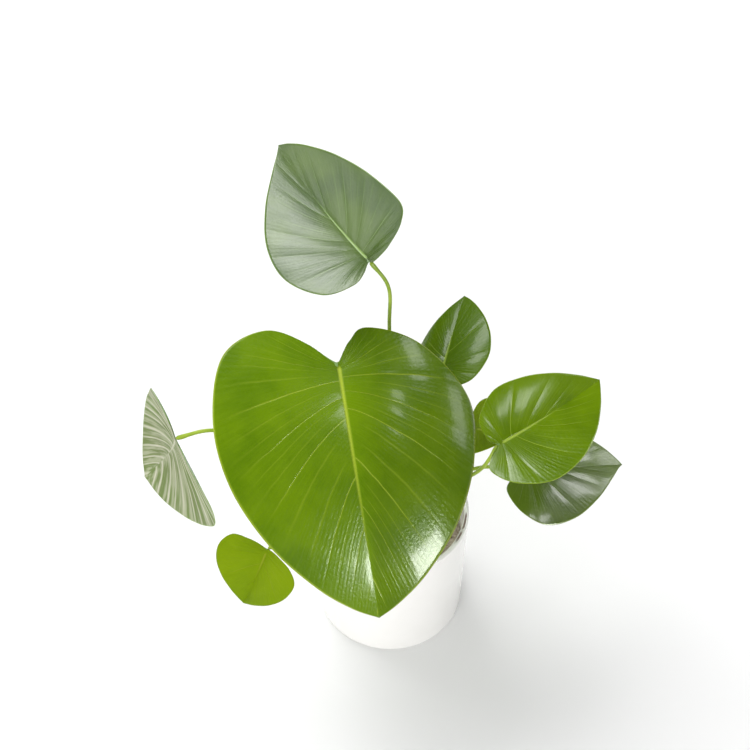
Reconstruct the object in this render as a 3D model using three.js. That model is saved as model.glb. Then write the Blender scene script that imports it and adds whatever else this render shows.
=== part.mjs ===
// A young potted monstera: a plain round pot filled with soil, three short stems, and eight
// heart-shaped leaf blades, each on its own stalk (petiole). Millimetres, +Z up.
// The origin is the centre of the pot's flat underside, and -Y is the front.
import * as THREE from 'three';

// ---- pot and soil ----
const POT_HEIGHT = 98;
const POT_RIM_RADIUS = 52;
const POT_BASE_RADIUS = 50;
const POT_WALL = 3.5;
const POT_FLOOR = 4;
const POT_EDGE_ROUND = 1.5;
const SOIL_BELOW_RIM = 28;
const SOIL_CROWN = 2.5;
const SOIL_EDGE_ROUND = 4;
const CLEARANCE = 0.3;

// ---- stems and petioles ----
const STEM_HEIGHT = 16;
const STEM_RADIUS = 4;
const STEM_TOP_ROUND = 1;
const PETIOLE_RADIUS = 1.5;
const PETIOLE_RING = 1.8 * PETIOLE_RADIUS; // stalks on one stem stay clear of each other
const PETIOLE_SIDES = 8;
const PETIOLE_STEPS = 18;
const PETIOLE_LIFT = 14;

// ---- leaf blades ----
const BLADE_THICKNESS = 0.6;
const MIDRIB_DEPTH = 0.9;
const MIDRIB_WIDTH = 2.2;
const MIDRIB_START = 5; // the midrib reaches its full depth this far from the stalk
const VEIN_SWEEP = 1.2;
const BLADE_COLUMNS = 16;
const BLADE_ROWS = 5;

// Half of a heart-shaped blade from the stalk to the tip: x runs along the midrib in blade
// lengths and y sideways in half widths. The first points go back round the lobe.
const HALF_HEART = [
  [0, 0],
  [-0.085, 0.2],
  [-0.135, 0.48],
  [-0.065, 0.83],
  [0.14, 1],
  [0.4, 0.93],
  [0.64, 0.66],
  [0.83, 0.33],
  [0.94, 0.11],
  [1, 0],
];
const LOBE_POINTS = 3;

// ---- the stems: foot is where each leaves the soil ----
const STEMS = {
  left: { foot: [-14, -4] },
  back: { foot: [2, 12] },
  right: { foot: [16, -6] },
};

// ---- the leaves ----
// at: where the stalk meets the blade. heading, pitch and roll turn the blade (degrees):
// heading is the midrib's direction seen from above, pitch its rise, roll lifts the left side.
// droop bends the midrib down along its length, sweep bends it sideways in blade lengths, and
// fold lifts both halves into a V. For each half, span scales its width, lobe and sinus the
// lobe's length and gap, shoulder moves the widest part forward, belly below 1 rounds the
// sides, and curl bends the half up, or down where it is negative (degrees).
// stalk: the stem, the side of it that the stalk leaves from (degrees) and the points that it
// passes on its way. side is 1 where the stalk meets the underside and -1 for the upper side.
const LEAVES = {
  large_front_leaf: {
    at: [-33, 11, 235],
    heading: -81,
    pitch: -13,
    roll: -4,
    length: 160,
    width: 164,
    droop: 46,
    fold: 9,
    sweep: 0.06,
    left: { span: 1.07, lobe: 1.03, sinus: 0.52, shoulder: 0.01, belly: 0.82, curl: -47 },
    right: { span: 0.98, lobe: 1.11, sinus: 1.09, shoulder: 0.06, belly: 0.74, curl: -13 },
    stalk: { stem: 'left', leaves: 95, passes: [[-24, 10, 170]], side: 1 },
    color: 0x6f9a00,
  },
  tall_back_leaf: {
    at: [-13.5, 63.5, 268],
    heading: 124,
    pitch: -3,
    roll: -25,
    length: 118,
    width: 96,
    droop: -5,
    fold: 25,
    sweep: -0.09,
    left: { span: 1.02, lobe: 0.66, sinus: 0.85, shoulder: 0.05, belly: 1.06, curl: -14 },
    right: { span: 0.85, lobe: 0.35, sinus: 0.88, shoulder: -0.08, belly: 0.75, curl: -4 },
    stalk: { stem: 'back', leaves: 120, passes: [[-1.5, 57, 215], [-2.5, 62, 248]], side: 1 },
    color: 0x7a9a6a,
  },
  left_leaf: {
    at: [-132.5, -20.5, 200],
    heading: 98,
    pitch: -60,
    roll: 74,
    length: 89,
    width: 92,
    droop: 36,
    fold: 4,
    sweep: -0.04,
    left: { span: 0.81, lobe: 1.22, sinus: 1.2, shoulder: 0.12, belly: 0.6, curl: -20 },
    right: { span: 1.19, lobe: 1.36, sinus: 0.78, shoulder: 0.12, belly: 0.6, curl: 3 },
    stalk: { stem: 'left', leaves: 190, passes: [[-70, -10, 178], [-110, -18, 205]], side: -1 },
    color: 0xa9bb8f,
  },
  low_left_leaf: {
    at: [-76.5, -67.5, 150],
    heading: -140,
    pitch: -64,
    roll: -15,
    length: 49.5,
    width: 54,
    droop: 6,
    fold: 25,
    sweep: -0.05,
    left: { span: 1.05, lobe: 0.35, sinus: 0.78, shoulder: -0.02, belly: 0.92, curl: -23 },
    right: { span: 1.08, lobe: 0.35, sinus: 0.95, shoulder: 0.05, belly: 0.89, curl: -6 },
    stalk: { stem: 'left', leaves: 285, passes: [[-42, -40, 145]], side: 1 },
    color: 0x86ab14,
  },
  small_back_leaf: {
    at: [31.5, 38.5, 191],
    heading: 75,
    pitch: 11,
    roll: -21,
    length: 63.5,
    width: 56,
    droop: 8,
    fold: 9,
    sweep: 0.02,
    left: { span: 0.98, lobe: 1, sinus: 1, shoulder: -0.07, belly: 1, curl: -48 },
    right: { span: 1.05, lobe: 1.05, sinus: 0.9, shoulder: 0.07, belly: 0.78, curl: -20 },
    stalk: { stem: 'back', leaves: 30, passes: [[20, 30, 150]], side: 1 },
    color: 0x4f7d1c,
  },
  right_leaf: {
    at: [65, -18, 190],
    heading: 32,
    pitch: 4,
    roll: 16,
    length: 85,
    width: 78,
    droop: 10,
    fold: 16,
    sweep: 0.08,
    left: { span: 0.8, lobe: 0.35, sinus: 0.5, shoulder: 0.05, belly: 0.92, curl: -18 },
    right: { span: 1.12, lobe: 1.25, sinus: 0.68, shoulder: -0.01, belly: 0.87, curl: 12 },
    stalk: { stem: 'right', leaves: 255, passes: [[36, -17, 145], [56, -22, 172]], side: 1 },
    color: 0x6c9a08,
  },
  low_right_leaf: {
    at: [81, -16, 160],
    heading: 14,
    pitch: -9,
    roll: 7,
    length: 76,
    width: 75,
    droop: 17,
    fold: 9,
    sweep: 0.05,
    left: { span: 1.01, lobe: 1, sinus: 1, shoulder: -0.02, belly: 0.87, curl: -26 },
    right: { span: 1.04, lobe: 1.25, sinus: 0.75, shoulder: -0.04, belly: 1.11, curl: -22 },
    stalk: { stem: 'right', leaves: 350, passes: [[38, -8, 142], [60, -12, 160]], side: 1 },
    color: 0x5a7a48,
  },
  inner_leaf: {
    at: [54, 37.5, 137],
    heading: -37,
    pitch: 22,
    roll: 13,
    length: 39,
    width: 42,
    droop: -5,
    fold: 19,
    sweep: 0.06,
    left: { span: 1.08, lobe: 0.83, sinus: 1, shoulder: -0.04, belly: 0.9, curl: -7 },
    right: { span: 1.03, lobe: 1, sinus: 1, shoulder: -0.01, belly: 1.07, curl: -25 },
    stalk: { stem: 'right', leaves: 85, passes: [[34, 22, 112], [49, 34, 124]], side: 1 },
    color: 0x3c5c14,
  },
};

const SOIL_TOP = POT_HEIGHT - SOIL_BELOW_RIM;
const STEM_TOP = SOIL_TOP + SOIL_CROWN + CLEARANCE + STEM_HEIGHT;
const TAPER = (POT_RIM_RADIUS - POT_BASE_RADIUS) / POT_HEIGHT;

const plant = new THREE.Group();

function add(name, geometry, color, roughness, parent = plant) {
  const material = new THREE.MeshStandardMaterial({ color, roughness, metalness: 0 });
  const mesh = new THREE.Mesh(geometry, material);
  mesh.name = name;
  parent.add(mesh);
  return mesh;
}

// A quarter-circle fillet from angle a to b (degrees) as profile points [radius, height].
function arc(centre, radius, from, to, steps = 4) {
  const points = [];
  for (let i = 0; i <= steps; i += 1) {
    const angle = THREE.MathUtils.degToRad(from + ((to - from) * i) / steps);
    points.push([centre[0] + radius * Math.cos(angle), centre[1] + radius * Math.sin(angle)]);
  }
  return points;
}

function lathe(profile, segments) {
  const geometry = new THREE.LatheGeometry(profile.map(([r, z]) => new THREE.Vector2(r, z)), segments);
  return geometry.rotateX(Math.PI / 2);
}

function outerRadius(z) {
  return POT_BASE_RADIUS + TAPER * z;
}

function innerRadius(z) {
  return outerRadius(z) - POT_WALL;
}

function makePot() {
  const lip = POT_WALL / 2;
  const foot = POT_EDGE_ROUND;
  const profile = [
    [0, 0],
    ...arc([POT_BASE_RADIUS - foot, foot], foot, -90, 0),
    ...arc([POT_RIM_RADIUS - lip, POT_HEIGHT - lip], lip, 0, 180, 6),
    [innerRadius(POT_FLOOR), POT_FLOOR],
    [0, POT_FLOOR],
  ];
  return lathe(profile, 64);
}

function makeSoil() {
  const bottom = POT_FLOOR + CLEARANCE;
  const round = SOIL_EDGE_ROUND;
  const edge = innerRadius(SOIL_TOP - round) - CLEARANCE;
  const profile = [
    [0, bottom],
    [innerRadius(bottom) - CLEARANCE, bottom],
    ...arc([edge - round, SOIL_TOP - round], round, 0, 75),
    [(edge - round) / 2, SOIL_TOP + SOIL_CROWN * 0.75],
    [0, SOIL_TOP + SOIL_CROWN],
  ];
  return lathe(profile, 48);
}

function makeStem() {
  const round = STEM_TOP_ROUND;
  const profile = [
    [0, 0],
    [STEM_RADIUS * 1.1, 0],
    [STEM_RADIUS, STEM_HEIGHT * 0.5],
    ...arc([STEM_RADIUS - round, STEM_HEIGHT - round], round, 0, 90),
    [0, STEM_HEIGHT],
  ];
  return lathe(profile, 16);
}

// The outline point of one half at t from 0, the stalk, to 1, the tip.
function outlinePoint(leaf, half, t) {
  const points = HALF_HEART.map(([x, y], i) => {
    const back = THREE.MathUtils.clamp((x + 0.135) / 0.275, 0, 1);
    const front = THREE.MathUtils.clamp((1 - x) / 0.86, 0, 1);
    let along = x + half.shoulder * back * front;
    let across = y;
    if (i > LOBE_POINTS + 1) {
      across = Math.max(y, 0) ** half.belly;
    }
    if (i < LOBE_POINTS) {
      across *= half.sinus;
    } else if (i === LOBE_POINTS) {
      across *= 1 + (half.sinus - 1) * 0.45;
    }
    if (along < 0) {
      along *= half.lobe;
    }
    return new THREE.Vector3(along, across, 0);
  });
  const curve = new THREE.CatmullRomCurve3(points, false, 'catmullrom', 0.5);
  const point = curve.getPoint(t);
  return [point.x * leaf.length, (point.y * leaf.width * half.span) / 2];
}

// The blade's own directions: along the midrib, to its left and out of its upper face.
function bladeFrame(leaf) {
  const heading = THREE.MathUtils.degToRad(leaf.heading);
  const pitch = THREE.MathUtils.degToRad(leaf.pitch);
  const roll = THREE.MathUtils.degToRad(leaf.roll);
  const along = new THREE.Vector3(
    Math.cos(pitch) * Math.cos(heading),
    Math.cos(pitch) * Math.sin(heading),
    Math.sin(pitch),
  );
  const level = new THREE.Vector3(-Math.sin(heading), Math.cos(heading), 0);
  const rise = along.clone().cross(level);
  const left = level.clone().multiplyScalar(Math.cos(roll)).addScaledVector(rise, Math.sin(roll));
  const up = rise.clone().multiplyScalar(Math.cos(roll)).addScaledVector(level, -Math.sin(roll));
  return { along, left, up };
}

// Where a point of the flat blade, x along and y to the left, goes on the bent blade.
function bendPoint(leaf, x, y) {
  const { along, left, up } = bladeFrame(leaf);
  const droop = THREE.MathUtils.degToRad(leaf.droop) || 1e-6;
  const turn = (droop * x) / leaf.length;
  const radius = leaf.length / droop;
  const sweep = leaf.sweep * (Math.max(x, 0) / leaf.length) ** 2 * leaf.length;
  const point = new THREE.Vector3(...leaf.at)
    .addScaledVector(along, radius * Math.sin(turn))
    .addScaledVector(up, -radius * (1 - Math.cos(turn)))
    .addScaledVector(left, sweep);
  const out = up.clone().multiplyScalar(Math.cos(turn)).addScaledVector(along, Math.sin(turn));
  const half = y > 0 ? leaf.left : leaf.right;
  const fold = THREE.MathUtils.degToRad(leaf.fold);
  const curl = THREE.MathUtils.degToRad(half.curl) || 1e-6;
  const bow = leaf.width / 2 / curl;
  const reach = (curl * Math.abs(y)) / (leaf.width / 2);
  const across = bow * (Math.sin(fold + reach) - Math.sin(fold));
  const lift = -bow * (Math.cos(fold + reach) - Math.cos(fold));
  return point.addScaledVector(left, Math.sign(y) * across).addScaledVector(out, lift);
}

// A flat point of the blade: t runs from the stalk to the tip, and side from -1, the right
// margin, through 0, the midrib, to 1, the left margin.
function flatPoint(leaf, t, side) {
  const half = side > 0 ? leaf.left : leaf.right;
  const [edgeX, edgeY] = outlinePoint(leaf, half, t);
  const ribX = leaf.length * t ** VEIN_SWEEP;
  const share = Math.abs(side);
  return [ribX + (edgeX - ribX) * share, edgeY * side];
}

// A thin closed blade: an upper and a lower skin of columns from the stalk to the tip, with a
// deeper midrib under the middle, and a rim that joins the two skins.
function makeBlade(leaf) {
  const flat = [[0, 0]];
  const perColumn = 2 * BLADE_ROWS + 1;
  for (let i = 1; i < BLADE_COLUMNS; i += 1) {
    for (let j = -BLADE_ROWS; j <= BLADE_ROWS; j += 1) {
      flat.push(flatPoint(leaf, i / BLADE_COLUMNS, j / BLADE_ROWS));
    }
  }
  flat.push([leaf.length, 0]);
  const tip = flat.length - 1;
  const at = (i, j) => 1 + (i - 1) * perColumn + j;

  const faces = [];
  for (let j = 0; j < perColumn - 1; j += 1) {
    faces.push([0, at(1, j), at(1, j + 1)]);
    faces.push([at(BLADE_COLUMNS - 1, j), tip, at(BLADE_COLUMNS - 1, j + 1)]);
  }
  for (let i = 1; i < BLADE_COLUMNS - 1; i += 1) {
    for (let j = 0; j < perColumn - 1; j += 1) {
      faces.push([at(i, j), at(i + 1, j), at(i + 1, j + 1)]);
      faces.push([at(i, j), at(i + 1, j + 1), at(i, j + 1)]);
    }
  }
  const rim = [0];
  for (let i = 1; i < BLADE_COLUMNS; i += 1) {
    rim.push(at(i, 0));
  }
  rim.push(tip);
  for (let i = BLADE_COLUMNS - 1; i > 0; i -= 1) {
    rim.push(at(i, perColumn - 1));
  }

  const middle = flat.map(([x, y]) => bendPoint(leaf, x, y));
  const normals = vertexNormals(middle, faces);
  const positions = [];
  const depth = flat.map(([x, y]) => {
    const taper = 1 - THREE.MathUtils.clamp(x / leaf.length, 0, 1);
    const start = THREE.MathUtils.clamp(x / MIDRIB_START, 0, 1);
    const rib = MIDRIB_DEPTH * start * taper * Math.exp(-((y / MIDRIB_WIDTH) ** 2));
    return BLADE_THICKNESS / 2 + rib;
  });
  middle.forEach((point, i) => {
    positions.push(...point.clone().addScaledVector(normals[i], BLADE_THICKNESS / 2).toArray());
  });
  middle.forEach((point, i) => {
    positions.push(...point.clone().addScaledVector(normals[i], -depth[i]).toArray());
  });
  const index = [];
  const lower = middle.length;
  faces.forEach(([a, b, c]) => {
    index.push(a, b, c);
    index.push(lower + a, lower + c, lower + b);
  });
  rim.forEach((a, i) => {
    const b = rim[(i + 1) % rim.length];
    index.push(a, lower + a, lower + b);
    index.push(a, lower + b, b);
  });
  const geometry = new THREE.BufferGeometry();
  geometry.setAttribute('position', new THREE.Float32BufferAttribute(positions, 3));
  geometry.setIndex(index);
  return geometry;
}

function vertexNormals(points, faces) {
  const normals = points.map(() => new THREE.Vector3());
  faces.forEach(([a, b, c]) => {
    const first = points[b].clone().sub(points[a]);
    const second = points[c].clone().sub(points[a]);
    const face = first.cross(second);
    normals[a].add(face);
    normals[b].add(face);
    normals[c].add(face);
  });
  return normals.map((normal) => normal.normalize());
}

// A stalk from the rim of its stem's top, straight up at first, through the points that it
// passes, to just short of the blade's face.
function makePetiole(leaf) {
  const { stem, leaves, passes, side } = leaf.stalk;
  const [footX, footY] = STEMS[stem].foot;
  const angle = THREE.MathUtils.degToRad(leaves);
  const x = footX + PETIOLE_RING * Math.cos(angle);
  const y = footY + PETIOLE_RING * Math.sin(angle);
  const start = STEM_TOP + CLEARANCE;
  const { up } = bladeFrame(leaf);
  const standOff = PETIOLE_RADIUS + BLADE_THICKNESS + MIDRIB_DEPTH + CLEARANCE;
  const end = new THREE.Vector3(...leaf.at).addScaledVector(up, -side * standOff);
  const points = [
    new THREE.Vector3(x, y, start),
    new THREE.Vector3(x, y, start + PETIOLE_LIFT),
    ...passes.map((point) => new THREE.Vector3(...point)),
    end,
  ];
  const path = new THREE.CatmullRomCurve3(points, false, 'centripetal');
  const section = new THREE.Shape();
  for (let i = 0; i < PETIOLE_SIDES; i += 1) {
    const turn = (2 * Math.PI * i) / PETIOLE_SIDES;
    const corner = [PETIOLE_RADIUS * Math.cos(turn), PETIOLE_RADIUS * Math.sin(turn)];
    if (i === 0) {
      section.moveTo(...corner);
    } else {
      section.lineTo(...corner);
    }
  }
  section.closePath();
  return new THREE.ExtrudeGeometry(section, { steps: PETIOLE_STEPS, extrudePath: path });
}

add('pot', makePot(), 0xf2efea, 0.5);
add('soil', makeSoil(), 0x3a2a1c, 0.95);
for (const [name, stem] of Object.entries(STEMS)) {
  const mesh = add(`${name}_stem`, makeStem(), 0x7f9440, 0.6);
  mesh.position.set(stem.foot[0], stem.foot[1], STEM_TOP - STEM_HEIGHT);
}
for (const [name, leaf] of Object.entries(LEAVES)) {
  add(name, makeBlade(leaf), leaf.color, 0.35);
  add(name.replace(/_leaf$/, '_petiole'), makePetiole(leaf), 0x7fa02c, 0.45);
}

export default plant;
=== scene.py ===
"""A young potted monstera: eight heart-shaped blades on their stalks, in a white glazed pot.

Metres, +Z up, -Y the front. The leaf table and the bending formula are those of the CAD blades.
Each fine blade follows its CAD solid, and its pleats and veins pass the solid's faces a little.
"""

import math
import random

import bpy
import numpy as np
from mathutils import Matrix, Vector


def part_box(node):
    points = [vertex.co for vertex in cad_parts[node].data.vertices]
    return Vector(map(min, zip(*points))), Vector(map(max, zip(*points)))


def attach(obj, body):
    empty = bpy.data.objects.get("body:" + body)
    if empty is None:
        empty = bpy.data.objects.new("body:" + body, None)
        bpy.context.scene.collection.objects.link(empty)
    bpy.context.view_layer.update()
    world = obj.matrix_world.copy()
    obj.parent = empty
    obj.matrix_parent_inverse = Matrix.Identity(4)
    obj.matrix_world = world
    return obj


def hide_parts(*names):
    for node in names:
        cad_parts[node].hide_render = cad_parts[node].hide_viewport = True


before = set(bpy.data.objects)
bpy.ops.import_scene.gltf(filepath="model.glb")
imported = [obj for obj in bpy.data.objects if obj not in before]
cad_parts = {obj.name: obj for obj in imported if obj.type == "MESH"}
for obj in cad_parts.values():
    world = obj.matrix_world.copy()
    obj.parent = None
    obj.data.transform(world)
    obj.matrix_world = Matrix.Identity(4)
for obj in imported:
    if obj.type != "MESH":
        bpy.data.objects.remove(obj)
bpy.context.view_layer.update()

MM = 0.001

# ---- pot and soil, as in the CAD ----
POT_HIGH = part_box("pot")[1]
SOIL_LOW, SOIL_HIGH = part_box("soil")
POT_RIM_RADIUS = POT_HIGH.x
POT_HEIGHT = POT_HIGH.z
POT_BASE_RADIUS = POT_RIM_RADIUS - 2 * MM
POT_WALL = 3.5 * MM
POT_FLOOR = 4 * MM
POT_FOOT_ROUND = 1.5 * MM
POT_SIDES = 192
POT_WALL_STEPS = 30
POT_FOOT_STEPS = 10
POT_LIP_STEPS = 18
SOIL_CROWN = 2.5 * MM
SOIL_TOP = SOIL_HIGH.z - SOIL_CROWN
SOIL_DIP = 1.4 * MM  # the fine soil lies this far below the CAD's
SOIL_EDGE_SINK = 1.6 * MM
SOIL_WAVES = 9
SOIL_WAVE_HEIGHT = 0.34
SOIL_RINGS = 70
SOIL_SIDES = 180
SOIL_SEED = 11
# The loose pieces on the soil: how many, their smallest and largest size in mm, and the seed.
CRUMBS = dict(count=420, low=0.35, high=1.15, seed=3)
PERLITE = dict(count=46, low=0.3, high=0.8, seed=5)
CRUMB_WALL_GAP = 4.5 * MM
CRUMB_LIFT = 0.25

# ---- stems and stalks ----
STEM_RADIUS = 4 * MM
STEM_BASE = SOIL_HIGH.z
STEM_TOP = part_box("left_stem")[1].z
PETIOLE_RING = 2.7 * MM
PETIOLE_LIFT = 14 * MM
PETIOLE_FOOT_RADIUS = 1.75 * MM
PETIOLE_RADIUS = 1.2 * MM
PETIOLE_KNEE_RADIUS = 1.5 * MM
PETIOLE_SIDES = 20
PETIOLE_STEPS = 90
PETIOLE_FOOT_SHARE = 0.12
PETIOLE_KNEE_AT = 0.955
PETIOLE_KNEE_SHARE = 0.035
PETIOLE_TIP_SHARE = 0.006
PETIOLE_TIP_WIDTH = 0.55
TUBE_REFERENCE = (0, 1, 0.3)  # a direction that no stalk or stem starts in
STAND_OFF = 0.5 * MM
CLEARANCE = 0.3 * MM
STEMS = {"left": (-14, -4), "back": (2, 12), "right": (16, -6)}
STEM_SIDES = 36
STEM_STEPS = 40
STEM_LEAN = 0.3
STEM_FOOT_SWELL = 1.04
STEM_TAPER = 0.1
STEM_SUNK = 1.2 * MM
STEM_SCARS = (0.3, 0.58, 0.83)
STEM_SCAR_SHARE = 0.025
STEM_SCAR_HEIGHT = 0.22 * MM
STEM_TOP_ROUND_AT = 0.93
STEM_TOP_ROUND_SHARE = 0.08

# ---- blades ----
BLADE_THICKNESS = 0.42 * MM
MIDRIB_RIDGE = 0.85 * MM
MIDRIB_GROOVE = 0.16 * MM
MIDRIB_WIDTH = 1.7 * MM
MIDRIB_START = 5 * MM
VEIN_RELIEF = 0.16 * MM
PUCKER = 0.34 * MM
RIB_SWEEP = 3.8
RIB_EVEN = 0.08
VEIN_CURVE = 1.25
VEIN_JITTER = 0.16
VEIN_JITTER_RATE = 2.4
VEIN_OFFSET = 0.35  # the halves' veins leave the midrib at different places
VEIN_SHARPNESS = 6
MIDRIB_TIP_SHARE = 0.25
EDGE_THINNING = 0.45
LARGEST_BLADE = 160
STRAIGHT = 1e-6  # stands for an angle of nothing where it is divided by
HALF_HEART = [
    (0, 0), (-0.085, 0.2), (-0.135, 0.48), (-0.065, 0.83), (0.14, 1),
    (0.4, 0.93), (0.64, 0.66), (0.83, 0.33), (0.94, 0.11), (1, 0),
]
LOBE_POINTS = 3
LOBE_REACH = 0.135  # how far the heart's lobes reach behind the stalk
SHOULDER_AT = 0.14  # where the heart is widest
SINUS_FADE = 0.45


def half(span, lobe, sinus, shoulder, belly, curl):
    return dict(span=span, lobe=lobe, sinus=sinus, shoulder=shoulder, belly=belly, curl=curl)


# Millimetres and degrees, as in the CAD. The values were fitted by a separate program and rounded.
# columns and rows: the mesh. veins: the lateral veins in each half. pleat: how deep the blade's
# pleats are, beside the usual depth. bold: how wide the veins' colour spreads. rib_edge: how
# narrow the midrib's colour is. shade: painted shade, how much darker the left half is painted.
# look: the colours, in LOOKS.
LEAVES = {
    "large_front": dict(
        at=(-33, 11, 235), heading=-81, pitch=-13, roll=-4, length=160, width=164,
        droop=46, fold=9, sweep=0.06,
        left=half(1.07, 1.03, 0.52, 0.01, 0.82, -47),
        right=half(0.98, 1.11, 1.09, 0.06, 0.74, -13),
        stalk=dict(stem="left", leaves=95, passes=[(-24, 10, 170)], side=1),
        columns=170, rows=46, veins=9, shade=0.2, rib_edge=0.3, look="bright"),
    "tall_back": dict(
        at=(-13.5, 63.5, 268), heading=124, pitch=-3, roll=-25, length=118, width=96,
        droop=-5, fold=25, sweep=-0.09,
        left=half(1.02, 0.66, 0.85, 0.05, 1.06, -14),
        right=half(0.85, 0.35, 0.88, -0.08, 0.75, -4),
        stalk=dict(stem="back", leaves=120, passes=[(-1.5, 57, 215), (-2.5, 62, 248)], side=1),
        columns=150, rows=42, veins=9, pleat=0.9, look="sheen"),
    "left": dict(
        at=(-132.5, -20.5, 200), heading=98, pitch=-60, roll=74, length=89, width=92,
        droop=36, fold=4, sweep=-0.04,
        left=half(0.81, 1.22, 1.2, 0.12, 0.6, -20),
        right=half(1.19, 1.36, 0.78, 0.12, 0.6, 3),
        stalk=dict(
            stem="left", leaves=190, passes=[(-70, -10, 178), (-110, -18, 205)], side=-1),
        columns=170, rows=44, veins=17, pleat=4, bold=0.36, look="pale"),
    "low_left": dict(
        at=(-76.5, -67.5, 150), heading=-140, pitch=-64, roll=-15, length=49.5, width=54,
        droop=6, fold=25, sweep=-0.05,
        left=half(1.05, 0.35, 0.78, -0.02, 0.92, -23),
        right=half(1.08, 0.35, 0.95, 0.05, 0.89, -6),
        stalk=dict(stem="left", leaves=285, passes=[(-42, -40, 145)], side=1),
        columns=90, rows=26, veins=6, look="young"),
    "small_back": dict(
        at=(31.5, 38.5, 191), heading=75, pitch=11, roll=-21, length=63.5, width=56,
        droop=8, fold=9, sweep=0.02,
        left=half(0.98, 1, 1, -0.07, 1, -48),
        right=half(1.05, 1.05, 0.9, 0.07, 0.78, -20),
        stalk=dict(stem="back", leaves=30, passes=[(20, 30, 150)], side=1),
        columns=90, rows=26, veins=6, look="dark"),
    "right": dict(
        at=(65, -18, 190), heading=32, pitch=4, roll=16, length=85, width=78,
        droop=10, fold=16, sweep=0.08,
        left=half(0.8, 0.35, 0.5, 0.05, 0.92, -18),
        right=half(1.12, 1.25, 0.68, -0.01, 0.87, 12),
        stalk=dict(stem="right", leaves=255, passes=[(36, -17, 145), (56, -22, 172)], side=1),
        columns=130, rows=38, veins=7, pleat=0.8, look="glossy"),
    "low_right": dict(
        at=(81, -16, 160), heading=14, pitch=-9, roll=7, length=76, width=75,
        droop=17, fold=9, sweep=0.05,
        left=half(1.01, 1, 1, -0.02, 0.87, -26),
        right=half(1.04, 1.25, 0.75, -0.04, 1.11, -22),
        stalk=dict(stem="right", leaves=350, passes=[(38, -8, 142), (60, -12, 160)], side=1),
        columns=110, rows=32, veins=7, pleat=1.5, look="silver"),
    "inner": dict(
        at=(54, 37.5, 137), heading=-37, pitch=22, roll=13, length=39, width=42,
        droop=-5, fold=19, sweep=0.06,
        left=half(1.08, 0.83, 1, -0.04, 0.9, -7),
        right=half(1.03, 1, 1, -0.01, 1.07, -25),
        stalk=dict(stem="right", leaves=85, passes=[(34, 22, 112), (49, 34, 124)], side=1),
        columns=80, rows=24, veins=6, look="shaded"),
}

# Linear colours of each look: the blade, its second tone, veins and underside. rough, coat and
# gloss are the shader's roughness, coat weight and specular level, and coat_rough is the coat's
# roughness where it isn't COAT_ROUGHNESS.
COAT_ROUGHNESS = 0.13
UNDER_ROUGHER = 0.16
UNDER_COAT = 0.25
# BLACK is what the painted shade on a blade's left half darkens towards.
BLACK = (0.0, 0.0, 0.0)
RIB_EDGE = 0.5
MINOR_VEINS = 3.0  # to each lateral vein
FINE_VEINS = 9
NET_CELLS = 330.0
# The blade's patterns: their grain, or how often they repeat along and across the blade.
WANDER_GRAIN = 34.0
WANDER = 0.012  # how far the veins stray along the blade, of its length
BLOTCH_GRAIN = 26.0
ROUGH_GRAIN = 90.0
STREAKS = (150.0, 9.0)
UNDER_BANDS = (34.0, 2.4)
BLADE_BUMP = 0.7 * MM
LOOKS = {
    "bright": dict(
        blade=(0.09, 0.18, 0.0003), second=(0.135, 0.24, 0.0006), vein=(0.4, 0.5, 0.04),
        under=(0.2, 0.33, 0.11), rough=0.2, coat=0.26, gloss=0.16, slot="bright_leaf"),
    "glossy": dict(
        blade=(0.085, 0.16, 0.0002), second=(0.13, 0.225, 0.0004), vein=(0.34, 0.46, 0.05),
        under=(0.2, 0.33, 0.11), rough=0.16, coat=0.4, gloss=0.12, slot="bright_leaf"),
    "young": dict(
        blade=(0.15, 0.245, 0.0004), second=(0.2, 0.3, 0.0006), vein=(0.27, 0.33, 0.02),
        under=(0.2, 0.33, 0.11), rough=0.42, coat=0.02, gloss=0.05, slot="bright_leaf"),
    "sheen": dict(
        blade=(0.042, 0.092, 0.004), second=(0.08, 0.145, 0.01), vein=(0.27, 0.42, 0.1),
        under=(0.22, 0.34, 0.16),
        rough=0.33, coat=0.6, gloss=0.5, coat_rough=0.24, slot="dark_leaf"),
    "pale": dict(
        blade=(0.1, 0.24, 0.01), second=(0.14, 0.29, 0.02), vein=(0.32, 0.46, 0.14),
        under=(0.155, 0.205, 0.06), under_vein=(0.7, 0.68, 0.54),
        rough=0.42, coat=0.35, gloss=0.35, slot="dark_leaf"),
    "dark": dict(
        blade=(0.06, 0.122, 0.0008), second=(0.085, 0.155, 0.0015), vein=(0.28, 0.4, 0.05),
        under=(0.16, 0.27, 0.1), rough=0.18, coat=0.2, gloss=0.1, slot="dark_leaf"),
    "silver": dict(
        blade=(0.066, 0.118, 0.002), second=(0.11, 0.18, 0.005), vein=(0.32, 0.42, 0.12),
        under=(0.16, 0.27, 0.1), rough=0.25, coat=0.6, gloss=0.5, slot="dark_leaf"),
    "shaded": dict(
        blade=(0.19, 0.29, 0.0006), second=(0.25, 0.36, 0.001), vein=(0.45, 0.55, 0.06),
        under=(0.13, 0.23, 0.08), rough=0.4, coat=0.1, gloss=0.1, slot="dark_leaf"),
}

# Linear colours of the other surfaces, as pairs of tones and the marks on them.
STALK_TONES = ((0.24, 0.36, 0.02), (0.36, 0.48, 0.05))
STALK_SPECK = (0.5, 0.58, 0.14)
STEM_TONES = ((0.13, 0.24, 0.04), (0.2, 0.2, 0.07))
STEM_SHEATH = (0.12, 0.07, 0.03)
GLAZE_TONES = ((0.93, 0.915, 0.89), (0.9, 0.885, 0.86))
GLAZE_DUST = (0.2, 0.13, 0.075)
GLAZE_SMEAR = (0.13, 0.06, 0.04)
# The smear covers these turns round the pot, in radians from +X: it fades in between the first
# two and out between the last two.
SMEAR_TURNS = (-0.62, -0.5, -0.12, -0.04)
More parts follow.
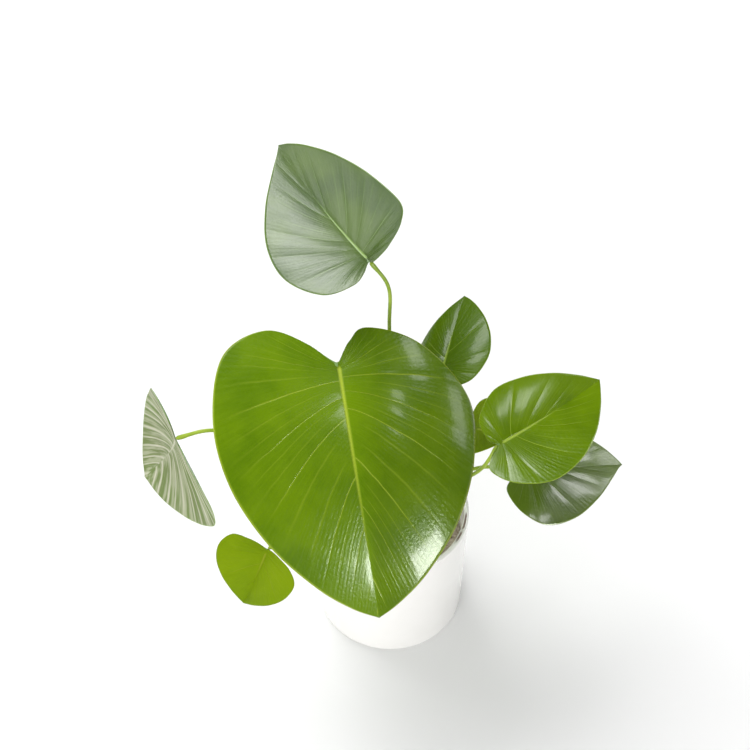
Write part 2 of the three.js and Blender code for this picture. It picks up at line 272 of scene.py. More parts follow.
# Each soil look: its dark and light tones, and how fine its grain is.
SOIL_LOOKS = {
    "soil_grain": ((0.34, 0.275, 0.21), (0.66, 0.58, 0.48), 520.0),
    "soil_lump": ((0.17, 0.12, 0.08), (0.42, 0.34, 0.26), 800.0),
    "perlite_grain": ((0.5, 0.48, 0.44), (0.72, 0.7, 0.66), 700.0),
}

# ---- camera, floor and lights ----
CAMERA_TARGET = Vector((-0.0106, 0, 0.236))
CAMERA_DISTANCE = 1.0
CAMERA_ELEVATION = math.radians(50)
CAMERA_VIEW = math.radians(25.43)
FLOOR_REACH = 6.0
FLOOR_TONE = 0.86
FLOOR_MOTTLE = 0.01
CAMERA_SENSOR = 36
WORLD_STRENGTH = 0.58
# Each light: its name, direction from the camera's target (degrees from +Y towards +X, and
# elevation), distance, width and height, and watts. Shading lights don't show in gloss. Sheen
# panels show only in gloss. The two cards stand close to the plant.
SHADING_LIGHTS = [
    ("key_back_left", -37, 52, 2.42, (2.0, 2.0), 56),
    ("front_fill", 190, 20, 2.4, (2.8, 1.5), 34),
]
SHEEN_PANELS = [
    ("back_window", -24, 47, 2.2, (0.75, 0.46), 16),
    ("front_right_card", 138, 5, 0.42, (0.18, 0.095), 2.3),
    ("right_card", 72, 6, 0.42, (0.14, 0.08), 0.2),
    ("right_window", 53, 36, 2.0, (0.5, 0.4), 6),
    ("left_wall", -82, 17, 2.0, (0.6, 0.4), 4),
    ("high_right", 88, 58, 1.9, (0.3, 0.26), 3),
]


# ======== curves ========
def catmull(points, t):
    """Uniform Catmull-Rom through points at the parameters t, from 0 to 1."""
    points = np.asarray(points, float)
    t = np.atleast_1d(np.asarray(t, float))
    last = len(points) - 1
    padded = np.vstack([2 * points[0] - points[1], points, 2 * points[-1] - points[-2]])
    spot = np.clip(t, 0, 1) * last
    k = np.minimum(spot.astype(int), last - 1)
    w = (spot - k)[:, None]
    p0, p1, p2, p3 = (padded[k + i] for i in range(4))
    t0 = (p2 - p0) / 2
    t1 = (p3 - p1) / 2
    return p1 + t0 * w + (3 * (p2 - p1) - 2 * t0 - t1) * w**2 + (2 * (p1 - p2) + t0 + t1) * w**3


def centripetal(points, count):
    """A centripetal Catmull-Rom path through points, as count + 1 evenly timed points."""
    points = np.asarray(points, float)
    padded = np.vstack([2 * points[0] - points[1], points, 2 * points[-1] - points[-2]])
    out = []
    for step in range(count + 1):
        spot = step / count * (len(points) - 1)
        k = min(int(spot), len(points) - 2)
        w = spot - k
        p0, p1, p2, p3 = padded[k:k + 4]
        d0, d1, d2 = (
            max(np.linalg.norm(b - a) ** 0.5, 1e-6) for a, b in ((p0, p1), (p1, p2), (p2, p3)))
        t1 = ((p1 - p0) / d0 - (p2 - p0) / (d0 + d1) + (p2 - p1) / d1) * d1
        t2 = ((p2 - p1) / d1 - (p3 - p1) / (d1 + d2) + (p3 - p2) / d2) * d1
        out.append(
            p1 + t1 * w + (3 * (p2 - p1) - 2 * t1 - t2) * w**2 + (2 * (p1 - p2) + t1 + t2) * w**3)
    return np.array(out)


# ======== the blade's form ========
def outline(leaf, side, t):
    """The outline of one half at t from 0, the stalk, to 1, the tip: along and across."""
    points = []
    for i, (x, y) in enumerate(HALF_HEART):
        back = np.clip((x + LOBE_REACH) / (SHOULDER_AT + LOBE_REACH), 0, 1)
        front = np.clip((1 - x) / (1 - SHOULDER_AT), 0, 1)
        along = x + side["shoulder"] * back * front
        across = max(y, 0) ** side["belly"] if i > LOBE_POINTS + 1 else y
        if i < LOBE_POINTS:
            across *= side["sinus"]
        elif i == LOBE_POINTS:
            across *= 1 + (side["sinus"] - 1) * SINUS_FADE
        if along < 0:
            along *= side["lobe"]
        points.append((along, across))
    curve = catmull(points, t)
    return curve[:, 0] * leaf["length"], curve[:, 1] * leaf["width"] * side["span"] / 2


def blade_frame(leaf):
    """The blade's own directions: along the midrib, to its left and out of its upper face."""
    heading, pitch, roll = (math.radians(leaf[k]) for k in ("heading", "pitch", "roll"))
    along = np.array([
        math.cos(pitch) * math.cos(heading),
        math.cos(pitch) * math.sin(heading),
        math.sin(pitch),
    ])
    level = np.array([-math.sin(heading), math.cos(heading), 0])
    rise = np.cross(along, level)
    left = level * math.cos(roll) + rise * math.sin(roll)
    up = rise * math.cos(roll) - level * math.sin(roll)
    return along, left, up


def bend(leaf, x, y):
    """Where points of the flat blade, x along and y to the left, go on the bent blade (mm)."""
    along, left, up = blade_frame(leaf)
    droop = math.radians(leaf["droop"]) or STRAIGHT
    turn = (droop * x / leaf["length"])[:, None]
    radius = leaf["length"] / droop
    sweep = leaf["sweep"] * (np.maximum(x, 0) / leaf["length"]) ** 2 * leaf["length"]
    point = (
        np.array(leaf["at"], float)
        + along * radius * np.sin(turn)
        - up * radius * (1 - np.cos(turn))
        + left * sweep[:, None]
    )
    out = up * np.cos(turn) + along * np.sin(turn)
    fold = math.radians(leaf["fold"])
    curls = [math.radians(leaf[k]["curl"]) or STRAIGHT for k in ("left", "right")]
    curl = np.where(y > 0, curls[0], curls[1])
    bow = leaf["width"] / 2 / curl
    reach = curl * np.abs(y) / (leaf["width"] / 2)
    across = bow * (np.sin(fold + reach) - math.sin(fold))
    lift = -bow * (np.cos(fold + reach) - math.cos(fold))
    return point + left * (np.sign(y) * across)[:, None] + out * lift[:, None]


def grid_faces(columns, rows):
    """Quads between columns 1 to columns - 1, and triangles to the base and tip vertices."""
    per = 2 * rows + 1
    tip = 1 + (columns - 1) * per
    faces = []
    for j in range(per - 1):
        faces.append((0, 1 + j, 2 + j))
        end = 1 + (columns - 2) * per + j
        faces.append((end, tip, end + 1))
    for i in range(columns - 2):
        for j in range(per - 1):
            a = 1 + i * per + j
            faces.append((a, a + per, a + per + 1, a + 1))
    return faces


def rim_loop(columns, rows):
    """The vertices round the blade's edge, from the base and back to it."""
    per = 2 * rows + 1
    right = [1 + i * per for i in range(columns - 1)]
    left = [v + per - 1 for v in right]
    return [0, *right, 1 + (columns - 1) * per, *reversed(left)]


def point_normals(points, faces):
    """Unit normals at the points, from the faces round each."""
    normals = np.zeros_like(points)
    for size in (3, 4):
        block = np.array([f for f in faces if len(f) == size])
        corner = points[block]
        if size == 3:
            face = np.cross(corner[:, 1] - corner[:, 0], corner[:, 2] - corner[:, 0])
        else:
            face = np.cross(corner[:, 2] - corner[:, 0], corner[:, 3] - corner[:, 1])
        for k in range(size):
            np.add.at(normals, block[:, k], face)
    return normals / np.maximum(np.linalg.norm(normals, axis=1), 1e-12)[:, None]


def vein_wave(leaf, t, side):
    """1 on a lateral vein and 0 half-way between two. The halves' veins alternate."""
    phase = t * leaf["veins"] + np.where(side > 0, VEIN_OFFSET, 0)
    phase = phase + VEIN_JITTER * np.sin(VEIN_JITTER_RATE * phase)
    return np.abs(2 * (phase - np.floor(phase)) - 1)


def blade_grid(leaf):
    """The flat blade's points (mm), and each one's place: t along and side across, -1 to 1."""
    columns, rows = leaf["columns"], leaf["rows"]
    t = np.repeat(np.arange(1, columns) / columns, 2 * rows + 1)
    side = np.tile(np.arange(-rows, rows + 1) / rows, columns - 1)
    edge = [outline(leaf, leaf[k], t) for k in ("left", "right")]
    edge_x = np.where(side > 0, edge[0][0], edge[1][0])
    edge_y = np.where(side > 0, edge[0][1], edge[1][1])
    rib_x = leaf["length"] * (RIB_EVEN * t + (1 - RIB_EVEN) * t**RIB_SWEEP)
    x = np.r_[0, rib_x + (edge_x - rib_x) * np.abs(side) ** VEIN_CURVE, leaf["length"]]
    y = np.r_[0, edge_y * side, 0]
    return x, y, np.r_[0, t, 1], np.r_[0, side, 0]


def blade_skins(leaf, middle, faces, x, y, t, side):
    """The blade's upper and lower points, and how strong the midrib is at each."""
    share = np.abs(side)
    size = leaf["length"] / LARGEST_BLADE
    normal = point_normals(middle, faces)
    taper = 1 - np.clip(x / leaf["length"], 0, 1)
    start = np.clip(x * MM / MIDRIB_START, 0, 1)
    swell = MIDRIB_TIP_SHARE + (1 - MIDRIB_TIP_SHARE) * taper
    rib = start * np.exp(-((y * MM / MIDRIB_WIDTH) ** 2)) * swell
    wave = vein_wave(leaf, t, side)
    vein = np.clip(wave * VEIN_SHARPNESS - (VEIN_SHARPNESS - 1), 0, 1)
    fade = np.sin(math.pi * share) ** 0.5 * np.sin(math.pi * np.clip(t, 0, 1))
    pucker = PUCKER * leaf.get("pleat", 1) * size**0.5
    relief = pucker * ((1 - wave) * fade - 0.5 * fade) - VEIN_RELIEF * vein * fade
    half_thick = BLADE_THICKNESS / 2 * (1 - EDGE_THINNING * share**8)
    upper = middle + normal * (half_thick + relief - MIDRIB_GROOVE * rib)[:, None]
    lower = middle - normal * (half_thick - relief + MIDRIB_RIDGE * rib * size**0.4)[:, None]
    return upper, lower, rib


def make_blade(name, leaf):
    """A closed blade. Its lower face has the second material."""
    x, y, t, side = blade_grid(leaf)
    faces = grid_faces(leaf["columns"], leaf["rows"])
    middle = bend(leaf, x, y) * MM
    upper, lower, rib = blade_skins(leaf, middle, faces, x, y, t, side)

    count = len(middle)
    skins = [tuple(f) for f in faces]
    skins += [tuple(count + v for v in reversed(f)) for f in faces]
    loop = rim_loop(leaf["columns"], leaf["rows"])
    for a, b in zip(loop, loop[1:] + loop[:1]):
        skins.append((a, count + a, count + b, b))
    mesh = bpy.data.meshes.new(name)
    mesh.from_pydata(np.vstack([upper, lower]).tolist(), [], skins)
    marks = np.zeros(len(skins), np.int32)
    marks[len(faces):2 * len(faces)] = 1
    mesh.polygons.foreach_set("material_index", marks)
    mesh.polygons.foreach_set("use_smooth", np.ones(len(skins), bool))
    uv = mesh.uv_layers.new(name="blade")
    loops = np.zeros(len(mesh.loops), np.int32)
    mesh.loops.foreach_get("vertex_index", loops)
    coords = np.stack([np.tile(t, 2)[loops], np.tile(side, 2)[loops] / 2 + 0.5], 1)
    uv.data.foreach_set("uv", coords.ravel())
    layer = mesh.attributes.new("rib", "FLOAT", "POINT")
    layer.data.foreach_set("value", np.tile(rib, 2).astype(np.float32))
    mesh.validate()
    blade = bpy.data.objects.new(name, mesh)
    bpy.context.scene.collection.objects.link(blade)
    return blade


# ======== stalks, stems, pot and soil ========
def tube(name, path, radii, sides):
    """A closed tube along path with a radius at each point, its ends closed by flat caps."""
    path = np.asarray(path)
    tangent = np.gradient(path, axis=0)
    tangent /= np.linalg.norm(tangent, axis=1)[:, None]
    across = np.cross(tangent[0], TUBE_REFERENCE)
    verts = []
    for point, along, radius in zip(path, tangent, radii):
        across = across - along * (across @ along)
        across /= np.linalg.norm(across)
        other = np.cross(along, across)
        for k in range(sides):
            turn = 2 * math.pi * k / sides
            verts.append(point + radius * (across * math.cos(turn) + other * math.sin(turn)))
    faces = [tuple(reversed(range(sides)))]
    for i in range(len(path) - 1):
        for k in range(sides):
            a, b = i * sides + k, i * sides + (k + 1) % sides
            faces.append((a, b, b + sides, a + sides))
    faces.append(tuple(range((len(path) - 1) * sides, len(path) * sides)))
    return new_piece(name, verts, faces)


def new_piece(name, verts, faces):
    """A smooth-shaded object with these vertices and faces."""
    mesh = bpy.data.meshes.new(name)
    mesh.from_pydata([tuple(map(float, v)) for v in verts], [], faces)
    mesh.validate()
    mesh.polygons.foreach_set("use_smooth", np.ones(len(mesh.polygons), bool))
    piece = bpy.data.objects.new(name, mesh)
    bpy.context.scene.collection.objects.link(piece)
    return piece


def make_petiole(name, leaf):
    """A stalk from its stem to the blade's base, thicker at its foot and at its knee."""
    stalk = leaf["stalk"]
    foot_x, foot_y = STEMS[stalk["stem"]]
    angle = math.radians(stalk["leaves"])
    x = foot_x * MM + PETIOLE_RING * math.cos(angle)
    y = foot_y * MM + PETIOLE_RING * math.sin(angle)
    start = STEM_TOP + CLEARANCE
    end = np.array(leaf["at"]) * MM - stalk["side"] * STAND_OFF * blade_frame(leaf)[2]
    points = [
        (x, y, start),
        (x, y, start + PETIOLE_LIFT),
        *[tuple(v * MM for v in p) for p in stalk["passes"]],
        tuple(end),
    ]
    path = centripetal(points, PETIOLE_STEPS)
    s = np.linspace(0, 1, len(path))
    foot = np.exp(-s / PETIOLE_FOOT_SHARE)
    radii = PETIOLE_RADIUS + (PETIOLE_FOOT_RADIUS - PETIOLE_RADIUS) * foot
    knee = np.exp(-(((s - PETIOLE_KNEE_AT) / PETIOLE_KNEE_SHARE) ** 2))
    radii = radii + (PETIOLE_KNEE_RADIUS - PETIOLE_RADIUS) * knee
    radii *= np.clip((1 - s) / PETIOLE_TIP_SHARE, PETIOLE_TIP_WIDTH, 1)
    return tube(name, path, radii, PETIOLE_SIDES)


def make_stem(name, foot, seed):
    """A short sheathed stem: its radius steps at each sheath scar, and it leans a little."""
    rng = random.Random(seed)
    lean = [rng.uniform(-STEM_LEAN, STEM_LEAN) * MM for _ in range(2)]
    path, radii = [], []
    for i in range(STEM_STEPS + 1):
        s = i / STEM_STEPS
        z = STEM_BASE - STEM_SUNK * (1 - s) + (STEM_TOP - STEM_BASE) * s
        path.append((foot[0] * MM + lean[0] * s, foot[1] * MM + lean[1] * s, z))
        scar = sum(math.exp(-(((s - c) / STEM_SCAR_SHARE) ** 2)) for c in STEM_SCARS)
        past = max((s - STEM_TOP_ROUND_AT) / STEM_TOP_ROUND_SHARE, 0)
        shrink = math.sqrt(max(1 - past**2, 0.1))
        radius = STEM_RADIUS * (STEM_FOOT_SWELL - STEM_TAPER * s) + STEM_SCAR_HEIGHT * scar
        radii.append(radius * shrink)
    return tube(name, path, radii, STEM_SIDES)


def lathe(name, profile, segments):
    """Turns (radius, z) points about Z. Points at radius 0 become one vertex."""
    verts, rings = [], []
    for radius, z in profile:
        if radius == 0:
            rings.append([len(verts)] * segments)
            verts.append((0, 0, z))
        else:
            rings.append(list(range(len(verts), len(verts) + segments)))
            verts += [
                (radius * math.cos(a), radius * math.sin(a), z)
                for a in (2 * math.pi * k / segments for k in range(segments))
            ]
    faces = []
    for low, high in zip(rings, rings[1:]):
        for k in range(segments):
            n = (k + 1) % segments
            face = list(dict.fromkeys((low[k], low[n], high[n], high[k])))
            if len(face) > 2:
                faces.append(face)
    return new_piece(name, verts, faces)


def quarter(cx, cz, radius, start, end, steps):
    """Profile points round an arc from start to end degrees."""
    turns = (math.radians(start + (end - start) * i / steps) for i in range(steps + 1))
    return [(cx + radius * math.cos(a), cz + radius * math.sin(a)) for a in turns]


def make_pot():
    """The pot, turned from one profile: foot, wall, rounded lip, inside wall and floor."""
    lip = POT_WALL / 2
    foot = POT_FOOT_ROUND
    profile = [(0, 0)]
    profile += quarter(POT_BASE_RADIUS - foot, foot, foot, -90, 0, POT_FOOT_STEPS)
    bottom, top = profile[-1], (POT_RIM_RADIUS, POT_HEIGHT - lip)
    for i in range(1, POT_WALL_STEPS):
        profile.append(tuple(a + (b - a) * i / POT_WALL_STEPS for a, b in zip(bottom, top)))
    profile += quarter(POT_RIM_RADIUS - lip, POT_HEIGHT - lip, lip, 0, 180, POT_LIP_STEPS)
    profile += [(POT_BASE_RADIUS - POT_WALL, POT_FLOOR), (0, POT_FLOOR)]
    return lathe("glazed_pot", profile, POT_SIDES)


def soil_height(x, y, waves):
    """The uneven top of the soil, crowned in the middle and sunk at the wall."""
    r = math.hypot(x, y) / (POT_RIM_RADIUS - POT_WALL)
    crown = SOIL_CROWN * (1 - r * r)
    rise = sum(a * math.sin(kx * x / MM + ky * y / MM + p) for a, kx, ky, p in waves)
    return SOIL_TOP - SOIL_DIP + crown + rise * MM - SOIL_EDGE_SINK * r**8


def make_soil():
    """The soil, closed under the visible top, and the waves that its height was made from."""
    rng = random.Random(SOIL_SEED)
    waves = []
    for k in range(SOIL_WAVES):
        rate = 0.2 + 0.14 * k
        waves.append((
            SOIL_WAVE_HEIGHT / (1 + 0.35 * k), rng.uniform(-1, 1) * rate,
            rng.uniform(-1, 1) * rate, rng.uniform(0, 6.3)))
    verts = [(0, 0, soil_height(0, 0, waves))]
    for i in range(1, SOIL_RINGS + 1):
        r = SOIL_HIGH.x * i / SOIL_RINGS
        for k in range(SOIL_SIDES):
            a = 2 * math.pi * k / SOIL_SIDES
            x, y = r * math.cos(a), r * math.sin(a)
            verts.append((x, y, soil_height(x, y, waves)))
    following = [(k + 1) % SOIL_SIDES for k in range(SOIL_SIDES)]
    faces = [(0, 1 + k, 1 + n) for k, n in enumerate(following)]
    for i in range(SOIL_RINGS - 1):
        ring = 1 + i * SOIL_SIDES
        for k, n in enumerate(following):
            a, b = ring + k, ring + n
            faces.append((a, a + SOIL_SIDES, b + SOIL_SIDES, b))
    shrink = (POT_BASE_RADIUS - POT_WALL - CLEARANCE) / SOIL_HIGH.x
    edge = len(verts) - SOIL_SIDES
    low = len(verts)
    verts += [(x * shrink, y * shrink, SOIL_LOW.z) for x, y, _ in verts[edge:]]
    faces += [(edge + k, low + k, low + n, edge + n) for k, n in enumerate(following)]
    faces.append(tuple(reversed(range(low, low + SOIL_SIDES))))
    return new_piece("soil_bed", verts, faces), waves


def make_crumbs(name, waves, count, low, high, seed):
    """Small angular lumps that lie on the soil, as one piece."""
    rng = random.Random(seed)
    verts, faces = [], []
    # One corner above, two rings of five and one below.
    shape = [
        (0, 0, 1), (0.9, 0, 0.3), (0.28, 0.86, 0.3), (-0.73, 0.53, 0.3), (-0.73, -0.53, 0.3),
        (0.28, -0.86, 0.3), (0.7, 0.5, -0.5), (-0.27, 0.83, -0.5), (-0.87, 0, -0.5),
        (-0.27, -0.83, -0.5), (0.7, -0.5, -0.5), (0, 0, -0.9),
    ]
    sides = [(0, i, i % 5 + 1) for i in range(1, 6)]
    for i in range(1, 6):
        n, low_i, low_p = i % 5 + 1, i + 5, (i - 2) % 5 + 6
        sides += [(i, low_i, n), (i, low_p, low_i), (11, low_i, low_p)]
    reach = POT_RIM_RADIUS - POT_WALL - CRUMB_WALL_GAP
    for _ in range(count):
        r, a = reach * math.sqrt(rng.random()), rng.uniform(0, 2 * math.pi)
        x, y = r * math.cos(a), r * math.sin(a)
        size = rng.uniform(low, high) * MM
        stretch = [size * rng.uniform(0.6, 1.2) for _ in range(3)]
        spin = rng.uniform(0, 6.3)
        z = soil_height(x, y, waves) + size * CRUMB_LIFT
        base = len(verts)
        for vx, vy, vz in shape:
            px = vx * stretch[0] * rng.uniform(0.8, 1.2)
            py = vy * stretch[1] * rng.uniform(0.8, 1.2)
            verts.append((
                x + px * math.cos(spin) - py * math.sin(spin),
                y + px * math.sin(spin) + py * math.cos(spin),
                z + vz * stretch[2]))
        faces += [tuple(base + v for v in f) for f in sides]
    return new_piece(name, verts, faces)


# ======== materials ========
class Nodes:
    """Short calls for building one material's node tree."""

    def __init__(self, name):
        self.material = bpy.data.materials.new(name)
        self.material.use_nodes = True
        self.tree = self.material.node_tree
        self.shader = self.tree.nodes["Principled BSDF"]

    def put(self, socket, value):
        """Links or sets one input: from another node, as a colour or as a number."""
        if isinstance(value, bpy.types.NodeSocket):
            self.tree.links.new(value, socket)
        elif isinstance(value, tuple) and len(value) == 3 and socket.type == "RGBA":
            socket.default_value = (*value, 1)
        else:
            socket.default_value = value

    def math(self, operation, *values):
        node = self.tree.nodes.new("ShaderNodeMath")
        node.operation = operation
        for socket, value in zip(node.inputs, values):
            self.put(socket, value)
        return node.outputs[0]

    def times(self, a, b):
        return self.math("MULTIPLY", a, b)

    def scaled(self, value, gain, offset):
        """value x gain + offset."""
        return self.math("MULTIPLY_ADD", value, gain, offset)

    def zigzag(self, phase):
        """1 at each whole phase and 0 half-way between."""
        return self.math("ABSOLUTE", self.scaled(self.math("FRACT", phase), 2.0, -1.0))

    def ramp(self, value, low, high):
        """0 at low, 1 at high, and smooth between them."""
        node = self.tree.nodes.new("ShaderNodeMapRange")
        node.interpolation_type = "SMOOTHSTEP"
        for key, given in (("Value", value), ("From Min", low), ("From Max", high)):
            self.put(node.inputs[key], given)
        return node.outputs[0]

    def mix(self, share, a, b):
        node = self.tree.nodes.new("ShaderNodeMix")
        node.data_type = "RGBA"
        self.put(node.inputs[0], share)
        self.put(node.inputs[6], a)
        self.put(node.inputs[7], b)
        return node.outputs[2]

    def noise(self, scale, detail=3, vector=None, roughness=0.55):
        node = self.tree.nodes.new("ShaderNodeTexNoise")
        node.inputs["Scale"].default_value = scale
        node.inputs["Detail"].default_value = detail
        node.inputs["Roughness"].default_value = roughness
        self.put(node.inputs["Vector"], vector or self.place())
        return node.outputs[0]

    def stretched(self, detail, along, across, rates):
        """Noise that is drawn out, with its own rate along and across the blade."""
        vector = self.join(self.times(along, rates[0]), self.times(across, rates[1]))
        return self.noise(1.0, detail, vector)

    def cells(self, scale):
        """0 on the edges of irregular cells and rising into them."""
        node = self.tree.nodes.new("ShaderNodeTexVoronoi")
        node.feature = "DISTANCE_TO_EDGE"
        node.inputs["Scale"].default_value = scale
        self.put(node.inputs["Vector"], self.place())
        return node.outputs["Distance"]

    def place(self):
        return self.tree.nodes.new("ShaderNodeTexCoord").outputs["Object"]

    def attribute(self, name):
        made = self.tree.nodes.new("ShaderNodeAttribute")
        made.attribute_name = name
        return made.outputs["Fac"]

    def split(self, vector):
        made = self.tree.nodes.new("ShaderNodeSeparateXYZ")
        self.put(made.inputs[0], vector)
        return made.outputs

    def join(self, x, y, z=0.0):
        made = self.tree.nodes.new("ShaderNodeCombineXYZ")
        for socket, value in zip(made.inputs, (x, y, z)):
            self.put(socket, value)
        return made.outputs[0]

    def bump(self, height, strength, distance):
        made = self.tree.nodes.new("ShaderNodeBump")
        made.inputs["Strength"].default_value = strength
        made.inputs["Distance"].default_value = distance
        self.put(made.inputs["Height"], height)
        self.tree.links.new(made.outputs[0], self.shader.inputs["Normal"])

    def surface(self, **values):
        """Sets the shader's inputs by name and gives the material."""
        for key, value in values.items():
            self.put(self.shader.inputs[key.replace("_", " ")], value)
        return self.material


def blade_veins(m, leaf, t, side):
    """How strongly the veins colour each point: the midrib, the laterals and finer ones."""
    share = m.math("ABSOLUTE", side)
    left = m.math("GREATER_THAN", side, 0.0)
    bold = leaf.get("bold", 0.0)
    phase = m.scaled(t, float(leaf["veins"]), m.times(left, VEIN_OFFSET))
    jitter = m.math("SINE", m.times(phase, VEIN_JITTER_RATE))
    phase = m.scaled(jitter, VEIN_JITTER, phase)
    width = m.scaled(share, 0.035, 0.945 - bold)
    lateral = m.ramp(m.zigzag(phase), width, 1.0)
    lateral = m.times(lateral, m.ramp(share, 1.0 + bold, 0.45 + bold))
    minor = m.zigzag(m.times(phase, MINOR_VEINS))
    minor = m.times(m.ramp(minor, 0.84, 1.0), m.ramp(share, 0.05, 0.3))
    minor = m.times(minor, m.ramp(share, 1.0, 0.6))
    rib = m.ramp(m.attribute("rib"), leaf.get("rib_edge", RIB_EDGE), 0.85)
    veins = m.math("MAXIMUM", rib, m.times(lateral, 0.62 + 0.6 * bold))
    return m.math("MAXIMUM", veins, m.times(minor, 0.2))


def blade_material(name, leaf, look, underside):
    """One face of a blade: mottled and streaked along its veins, with a fine net of bumps."""
    m = Nodes(name)
    uv = m.tree.nodes.new("ShaderNodeUVMap")
    uv.uv_map = "blade"
    t, v, _ = m.split(uv.outputs[0])
    side = m.scaled(v, 2.0, -1.0)
    t = m.math("ADD", t, m.scaled(m.noise(WANDER_GRAIN, 2), WANDER, -WANDER / 2))
    veins = blade_veins(m, leaf, t, side)
    fine = m.zigzag(m.times(t, float(leaf["veins"] * FINE_VEINS)))
    streak = m.stretched(4, t, v, STREAKS)

    blotch = m.noise(BLOTCH_GRAIN, 4)
    color = m.mix(m.ramp(blotch, 0.35, 0.7), look["blade"], look["second"])
    color = m.mix(m.times(m.ramp(streak, 0.42, 0.68), 0.28), color, look["second"])
    # Painted shade: the blade's left half is darkened towards black by the leaf's shade entry.
    shaded = m.times(m.ramp(side, -0.05, 0.4), leaf.get("shade", 0.0))
    color = m.mix(shaded, color, BLACK)
    vein_color, vein_strength = look["vein"], 0.85
    if underside:
        color = m.mix(m.times(m.ramp(blotch, 0.3, 0.75), 0.4), look["under"], color)
        vein_color, vein_strength = look.get("under_vein", look["vein"]), 0.75
        if "bold" in leaf:
            bands = m.stretched(3, t, v, UNDER_BANDS)
            color = m.mix(m.times(m.ramp(bands, 0.42, 0.62), 0.36), color, vein_color)
    color = m.mix(m.times(veins, vein_strength), color, vein_color)
    margin = m.ramp(m.math("ABSOLUTE", side), 0.982, 0.998)
    color = m.mix(m.times(margin, 0.6), color, look["vein"])

    ridges = m.scaled(fine, 0.1, m.times(streak, 0.2))
    ridges = m.scaled(m.cells(NET_CELLS), 0.3, ridges)
    m.bump(m.scaled(veins, 0.5 if underside else -0.5, ridges), 0.8, BLADE_BUMP)
    rough = m.scaled(m.noise(ROUGH_GRAIN, 3), 0.14, look["rough"] - 0.05)
    rough = m.scaled(streak, 0.12, rough)
    coat = look["coat"]
    if underside:
        rough = m.math("ADD", rough, UNDER_ROUGHER)
        coat *= UNDER_COAT
    return m.surface(
        Base_Color=color, Roughness=rough, Specular_IOR_Level=look["gloss"],
        Coat_Weight=coat, Coat_Roughness=look.get("coat_rough", COAT_ROUGHNESS))


def stalk_material():
    """Green skin with pale specks."""
    m = Nodes("stalk_skin")
    spots = m.noise(420.0, 3)
    cloud = m.noise(60.0, 2)
    color = m.mix(m.ramp(cloud, 0.35, 0.7), *STALK_TONES)
    color = m.mix(m.times(m.ramp(spots, 0.62, 0.72), 0.4), color, STALK_SPECK)
    m.bump(spots, 0.15, 0.4 * MM)
    return m.surface(
        Base_Color=color, Roughness=m.scaled(cloud, 0.15, 0.3), Specular_IOR_Level=0.25,
        Coat_Weight=0.2, Coat_Roughness=0.25)


def stem_material():
    """Green bands round the stem, with patches of dry brown sheath."""
    m = Nodes("stem_skin")
    height = m.split(m.place())[2]
    bands = m.noise(1.0, 3, m.join(0.0, 0.0, m.times(height, 900.0)))
    color = m.mix(m.ramp(bands, 0.4, 0.65), *STEM_TONES)
    color = m.mix(m.times(m.ramp(m.noise(300.0), 0.6, 0.75), 0.6), color, STEM_SHEATH)
    m.bump(bands, 0.3, 0.6 * MM)
    return m.surface(Base_Color=color, Roughness=0.5)


def glaze_material():
    """White glaze, faintly uneven. The lip has a thin smear of soil at the front right, and the
    inside is dusty just above the soil."""
    m = Nodes("white_glaze")
    x, y, z = m.split(m.place())
    reach = m.math("SQRT", m.math("ADD", m.times(x, x), m.times(y, y)))
    turn = m.math("ARCTAN2", y, x)
    fade_in, full, full_end, fade_out = SMEAR_TURNS
    window = m.times(m.ramp(turn, fade_in, full), m.ramp(turn, fade_out, full_end))
    near_rim = m.ramp(z, POT_HEIGHT - 1.6 * MM, POT_HEIGHT - 0.7 * MM)
    outer = m.ramp(reach, POT_RIM_RADIUS - 1.0 * MM, POT_RIM_RADIUS - 1.5 * MM)
    inner = m.ramp(reach, POT_RIM_RADIUS - 3.0 * MM, POT_RIM_RADIUS - 2.3 * MM)
    ragged = m.ramp(m.noise(180.0, 5, roughness=0.7), 0.3, 0.5)
    lip = m.times(near_rim, m.times(outer, inner))
    smear = m.times(m.times(window, lip), ragged)
    inside = m.ramp(reach, POT_RIM_RADIUS - 2.6 * MM, POT_RIM_RADIUS - 3.4 * MM)
    dusty = m.times(inside, m.ramp(z, SOIL_HIGH.z + 5 * MM, SOIL_HIGH.z))
    dusty = m.times(dusty, m.ramp(m.noise(240.0, 4), 0.4, 0.62))
    cloud = m.noise(22.0, 3)
    color = m.mix(m.ramp(cloud, 0.3, 0.7), *GLAZE_TONES)
    color = m.mix(m.times(dusty, 0.7), color, GLAZE_DUST)
    color = m.mix(m.times(smear, 0.9), color, GLAZE_SMEAR)
    m.bump(cloud, 0.05, 0.4 * MM)
    rough = m.scaled(m.math("MAXIMUM", smear, dusty), 0.55, 0.16)
    return m.surface(Base_Color=color, Roughness=rough, Coat_Weight=0.5, Coat_Roughness=0.08)


def soil_material(name):
    """Matt and grainy, in one of the SOIL_LOOKS."""
    dark, light, scale = SOIL_LOOKS[name]
    m = Nodes(name)
    grain = m.noise(scale, 6, roughness=0.7)
    color = m.mix(m.ramp(grain, 0.35, 0.68), dark, light)
    m.bump(m.noise(scale * 2.2, 5, roughness=0.75), 0.9, 1.0 * MM)
    return m.surface(Base_Color=color, Roughness=0.93, Specular_IOR_Level=0.2)


def floor_material():
    """A plain pale floor, very slightly mottled."""
    m = Nodes("studio_floor")
    color = m.mix(m.noise(2.0, 2), (FLOOR_TONE - FLOOR_MOTTLE,) * 3, (FLOOR_TONE,) * 3)
    return m.surface(Base_Color=color, Roughness=0.7, Specular_IOR_Level=0.15)


# ======== building it ========
def settle(piece, materials, slot, *nodes):
    """Gives a piece its materials and body, and hides the CAD nodes that it replaces. slot is not
    used.
    """
    for material in materials:
        piece.data.materials.append(material)
    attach(piece, "root")
    if nodes:
        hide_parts(*nodes)


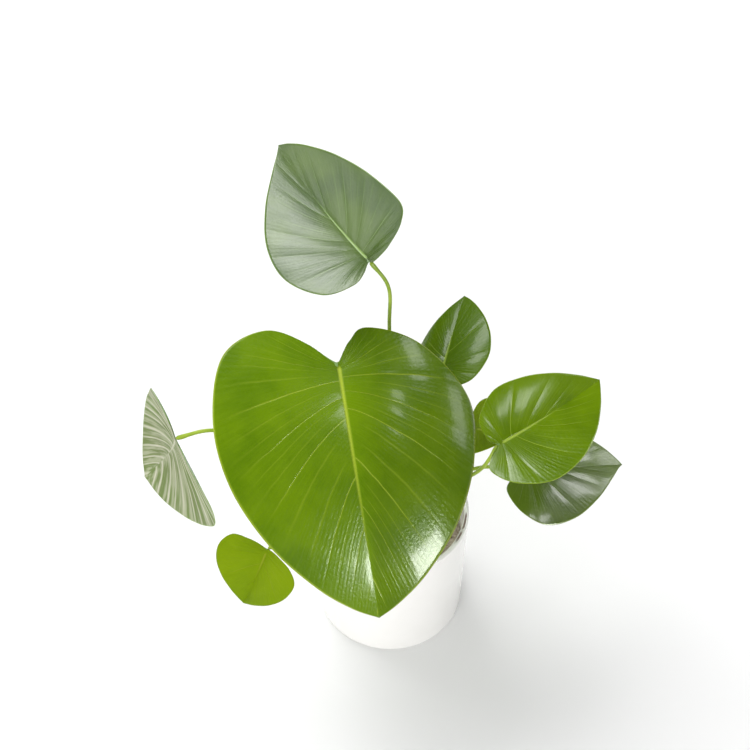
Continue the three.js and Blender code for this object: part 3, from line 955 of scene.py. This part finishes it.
def build_plant():
    stalk = stalk_material()
    for name, leaf in LEAVES.items():
        look = LOOKS[leaf["look"]]
        blade = make_blade(f"{name}_blade", leaf)
        upper = blade_material(f"{name}_upper", leaf, look, False)
        under = blade_material(f"{name}_under", leaf, look, True)
        settle(blade, (upper, under), look["slot"], f"{name}_leaf")
        petiole = make_petiole(f"{name}_stalk", leaf)
        settle(petiole, (stalk,), "petiole", f"{name}_petiole")
    skin = stem_material()
    for seed, (name, foot) in enumerate(STEMS.items()):
        stem = make_stem(f"{name}_sheathed_stem", foot, seed)
        settle(stem, (skin,), "stem", f"{name}_stem")


def build_pot():
    settle(make_pot(), (glaze_material(),), "pot", "pot")
    soil, waves = make_soil()
    settle(soil, (soil_material("soil_grain"),), "soil", "soil")
    crumbs = make_crumbs("soil_crumbs", waves, **CRUMBS)
    settle(crumbs, (soil_material("soil_lump"),), "soil")
    perlite = make_crumbs("perlite", waves, **PERLITE)
    settle(perlite, (soil_material("perlite_grain"),), "soil")


def area_light(name, azimuth, elevation, distance, size, power):
    """A rectangular light that faces the camera's target."""
    turn, rise = math.radians(azimuth), math.radians(elevation)
    way = Vector((
        math.sin(turn) * math.cos(rise),
        math.cos(turn) * math.cos(rise),
        math.sin(rise),
    ))
    data = bpy.data.lights.new(name, "AREA")
    data.shape = "RECTANGLE"
    data.size, data.size_y = size
    data.energy = power
    light = bpy.data.objects.new(name, data)
    light.location = CAMERA_TARGET + distance * way
    light.rotation_euler = (-way).to_track_quat("-Z", "Y").to_euler()
    bpy.context.scene.collection.objects.link(light)
    return light


def build_floor():
    bpy.ops.mesh.primitive_plane_add(size=2 * FLOOR_REACH)
    floor = bpy.context.object
    floor.name = "studio_floor"
    floor.data.materials.append(floor_material())


def build_lights():
    """A white world that gloss doesn't see, the shading lights and the sheen panels."""
    world = bpy.data.worlds.new("studio")
    world.use_nodes = True
    sky = world.node_tree.nodes["Background"]
    sky.inputs["Color"].default_value = (1, 1, 1, 1)
    sky.inputs["Strength"].default_value = WORLD_STRENGTH
    world.cycles_visibility.glossy = False
    bpy.context.scene.world = world
    for light in SHADING_LIGHTS:
        area_light(*light).visible_glossy = False
    for light in SHEEN_PANELS:
        area_light(*light).visible_diffuse = False


def build_camera():
    data = bpy.data.cameras.new("camera")
    data.sensor_width = CAMERA_SENSOR
    data.lens = data.sensor_width / 2 / math.tan(CAMERA_VIEW / 2)
    camera = bpy.data.objects.new("camera", data)
    way = Vector((0, -math.cos(CAMERA_ELEVATION), math.sin(CAMERA_ELEVATION)))
    camera.location = CAMERA_TARGET + CAMERA_DISTANCE * way
    camera.rotation_euler = (math.pi / 2 - CAMERA_ELEVATION, 0, 0)
    bpy.context.scene.collection.objects.link(camera)
    bpy.context.scene.camera = camera
    bpy.context.scene.view_settings.view_transform = "Standard"


build_plant()
build_pot()
build_floor()
build_lights()
build_camera()
